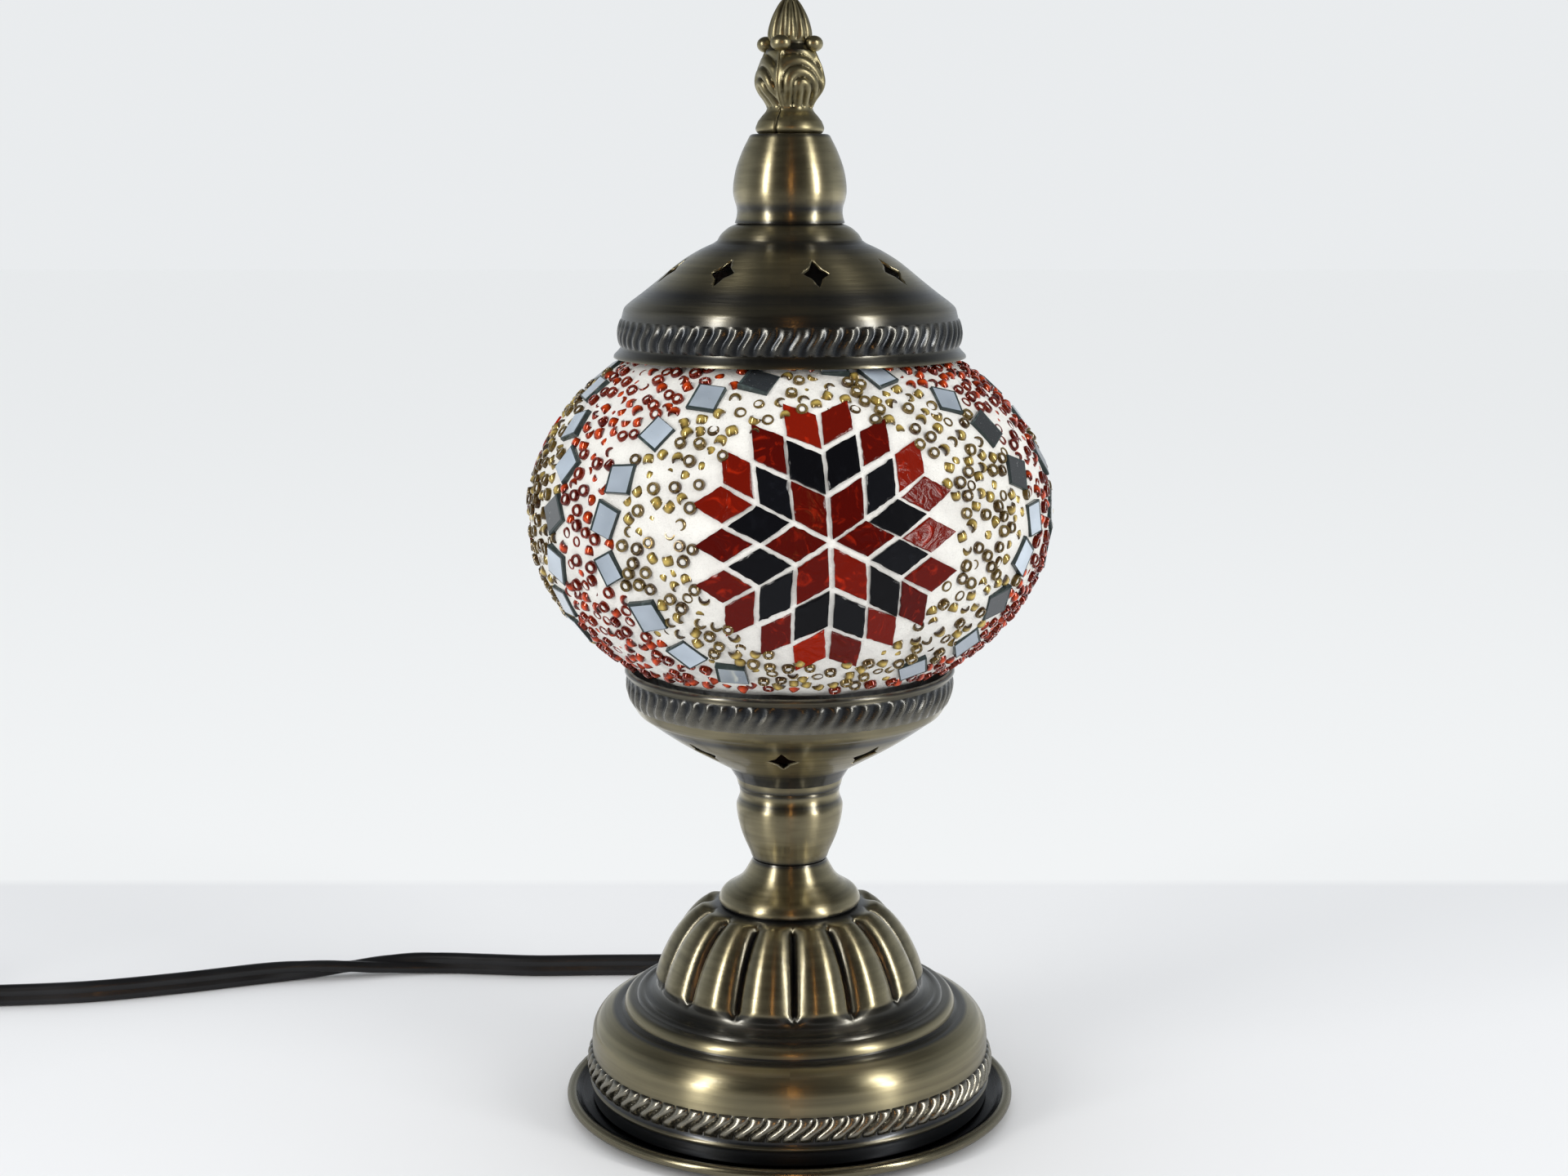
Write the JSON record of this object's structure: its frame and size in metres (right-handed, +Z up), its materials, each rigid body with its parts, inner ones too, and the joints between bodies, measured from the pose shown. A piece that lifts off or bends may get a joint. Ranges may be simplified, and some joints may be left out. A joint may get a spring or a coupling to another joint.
{
  "type": "mosaic glass table lamp",
  "caption": "Table lamp: a mosaic glass globe on a fluted antique-brass foot under a vented cap with a finial; globe, cap and bulb come off, and the cord has a rocker switch and a plug.",
  "frame": {"origin": "centre of the foot's underside, on the table", "axes": "+Z up along the lamp's axis, -Y the front with a star medallion, +Y the side that the cord leaves, +X to the right seen from the front"},
  "size_m": [0.4576, 0.1629, 0.2742],
  "materials": {
    "antique_brass": "brushed antique brass plate, dark patina in the recesses, lacquered",
    "dark_brass": "near-black patina, glossy lacquer",
    "zinc_steel": "zinc-plated steel",
    "bright_brass": "bright brass",
    "clear_glass": "clear glass",
    "frosted_glass": "white frosted glass",
    "grout": "off-white mosaic grout, matt and slightly grainy",
    "red_glass": "transparent red and orange glass",
    "amber_glass": "silver-lined amber glass beads",
    "black_glass": "opaque black glass",
    "mirror_tile": "bevelled mirror glass",
    "black_rubber": "black rubber",
    "cord_vinyl": "glossy black vinyl",
    "black_plastic": "fine satin black plastic",
    "phenolic": "dark brown phenolic",
    "felt": "dark green felt"
  },
  "bodies": {
    "lamp_base": {"base_pad": "felt", "base_saucer": "dark_brass", "base_shell": "antique_brass", "strain_relief": "black_rubber", "stem_collar": "antique_brass", "stem_neck": "antique_brass", "bowl": "antique_brass", "lamp_pipe": "zinc_steel", "pipe_lower_washer": "zinc_steel", "pipe_lower_nut": "zinc_steel", "pipe_upper_washer": "zinc_steel", "pipe_upper_nut": "zinc_steel", "inner_lead": "cord_vinyl", "socket_body": "phenolic", "socket_screw_shell": "bright_brass", "socket_contact": "bright_brass", "cord_lamp_to_switch": "cord_vinyl", "cord_switch_to_coil": "cord_vinyl", "cord_coil_to_plug": "cord_vinyl", "cord_coil": "cord_vinyl", "coil_tie": "black_plastic", "switch_lower_case": "black_plastic", "switch_upper_case": "black_plastic", "switch_screw_1": "zinc_steel", "switch_screw_2": "zinc_steel", "plug_body": "black_plastic", "plug_blade_left": "bright_brass", "plug_blade_right": "bright_brass"},
    "bulb": {"bulb_tip_contact": "zinc_steel", "bulb_insulator": "phenolic", "bulb_screw_cap": "bright_brass", "bulb_glass": "clear_glass", "bulb_filament_mount": "clear_glass"},
    "globe": {"glass_globe": "frosted_glass", "mosaic_layer": "grout"},
    "cap": {"cap_dome": "antique_brass", "cap_chimney": "antique_brass", "finial": "antique_brass", "finial_stud": "zinc_steel", "cap_washer": "zinc_steel", "cap_nut": "zinc_steel"},
    "rocker": {"switch_rocker": "black_plastic"}
  },
  "joints": [
    {"name": "globe_lift", "type": "slide", "parent": "lamp_base", "child": "globe", "axis": [0, 0, 1], "range_m": [0, 0.1]},
    {"name": "cap_lift", "type": "slide", "parent": "globe", "child": "cap", "axis": [0, 0, 1], "range_m": [0, 0.06]},
    {"name": "bulb_unscrew", "type": "slide", "parent": "lamp_base", "child": "bulb", "axis": [0, 0, 1], "range_m": [0, 0.015]},
    {"name": "switch_rock", "type": "hinge", "parent": "lamp_base", "child": "rocker", "pos_m": [-0.283, 0.065, 0.0146], "axis": [0, 1, 0], "range_deg": [-16, 0]}
  ]
}
